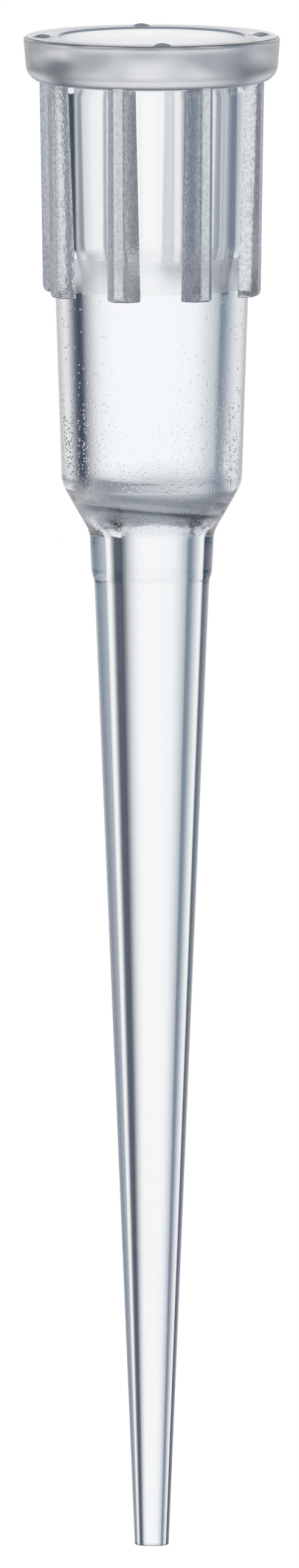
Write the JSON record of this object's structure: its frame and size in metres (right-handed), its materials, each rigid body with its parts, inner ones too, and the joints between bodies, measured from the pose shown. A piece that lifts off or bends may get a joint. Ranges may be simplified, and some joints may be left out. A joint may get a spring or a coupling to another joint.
{
  "type": "pipette tip",
  "caption": "Translucent moulded pipette tip: a flanged, ribbed mouth that pushes onto a pipette, a stepped barrel and a long fine hollow point.",
  "frame": {"origin": "middle of the mouth, in the plane of the flange's top face, where the pipette's cone goes in", "axes": "+Z along the tip's axis, out of the mouth towards the pipette, so the point hangs down along -Z; the nubs on the flange lie on X and Y, and the ribs lie midway between them"},
  "size_m": [0.0068, 0.0068, 0.0401],
  "materials": {
    "polypropylene": "natural translucent polypropylene: polished point, satin flange, fine grain on the ribs and the barrel"
  },
  "bodies": {
    "root": {"pipette_tip": "polypropylene"}
  },
  "joints": []
}
